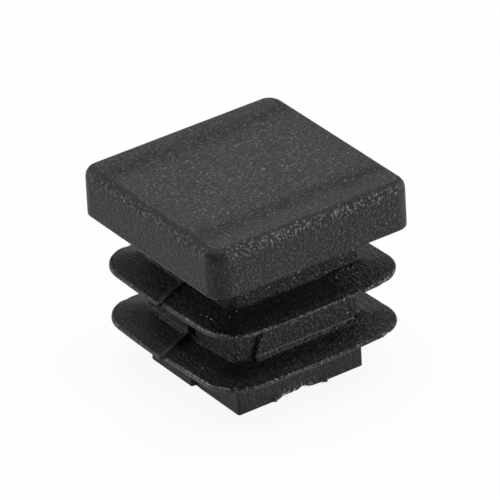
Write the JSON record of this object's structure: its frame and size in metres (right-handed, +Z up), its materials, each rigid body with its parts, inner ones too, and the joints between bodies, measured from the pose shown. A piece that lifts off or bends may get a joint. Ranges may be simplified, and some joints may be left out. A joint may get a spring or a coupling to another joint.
{
  "type": "square tube end cap",
  "caption": "Square push-in end cap for a square tube: a flush rounded head on a hollow square stem with thin gripping ribs.",
  "frame": {"origin": "centre of the stem's open end, which is the bottom centre of the cap's box", "axes": "+Z up the stem and out through the head's top face; the two slides of the mould met at the plane X = 0, and the torn gate is on the stem's +X side"},
  "size_m": [0.02, 0.02, 0.0184],
  "materials": {
    "black_polyethylene": "fine spark-eroded grain on the head and stem, smooth satin on the ribs"
  },
  "bodies": {
    "root": {"end_cap": "black_polyethylene"}
  },
  "joints": []
}
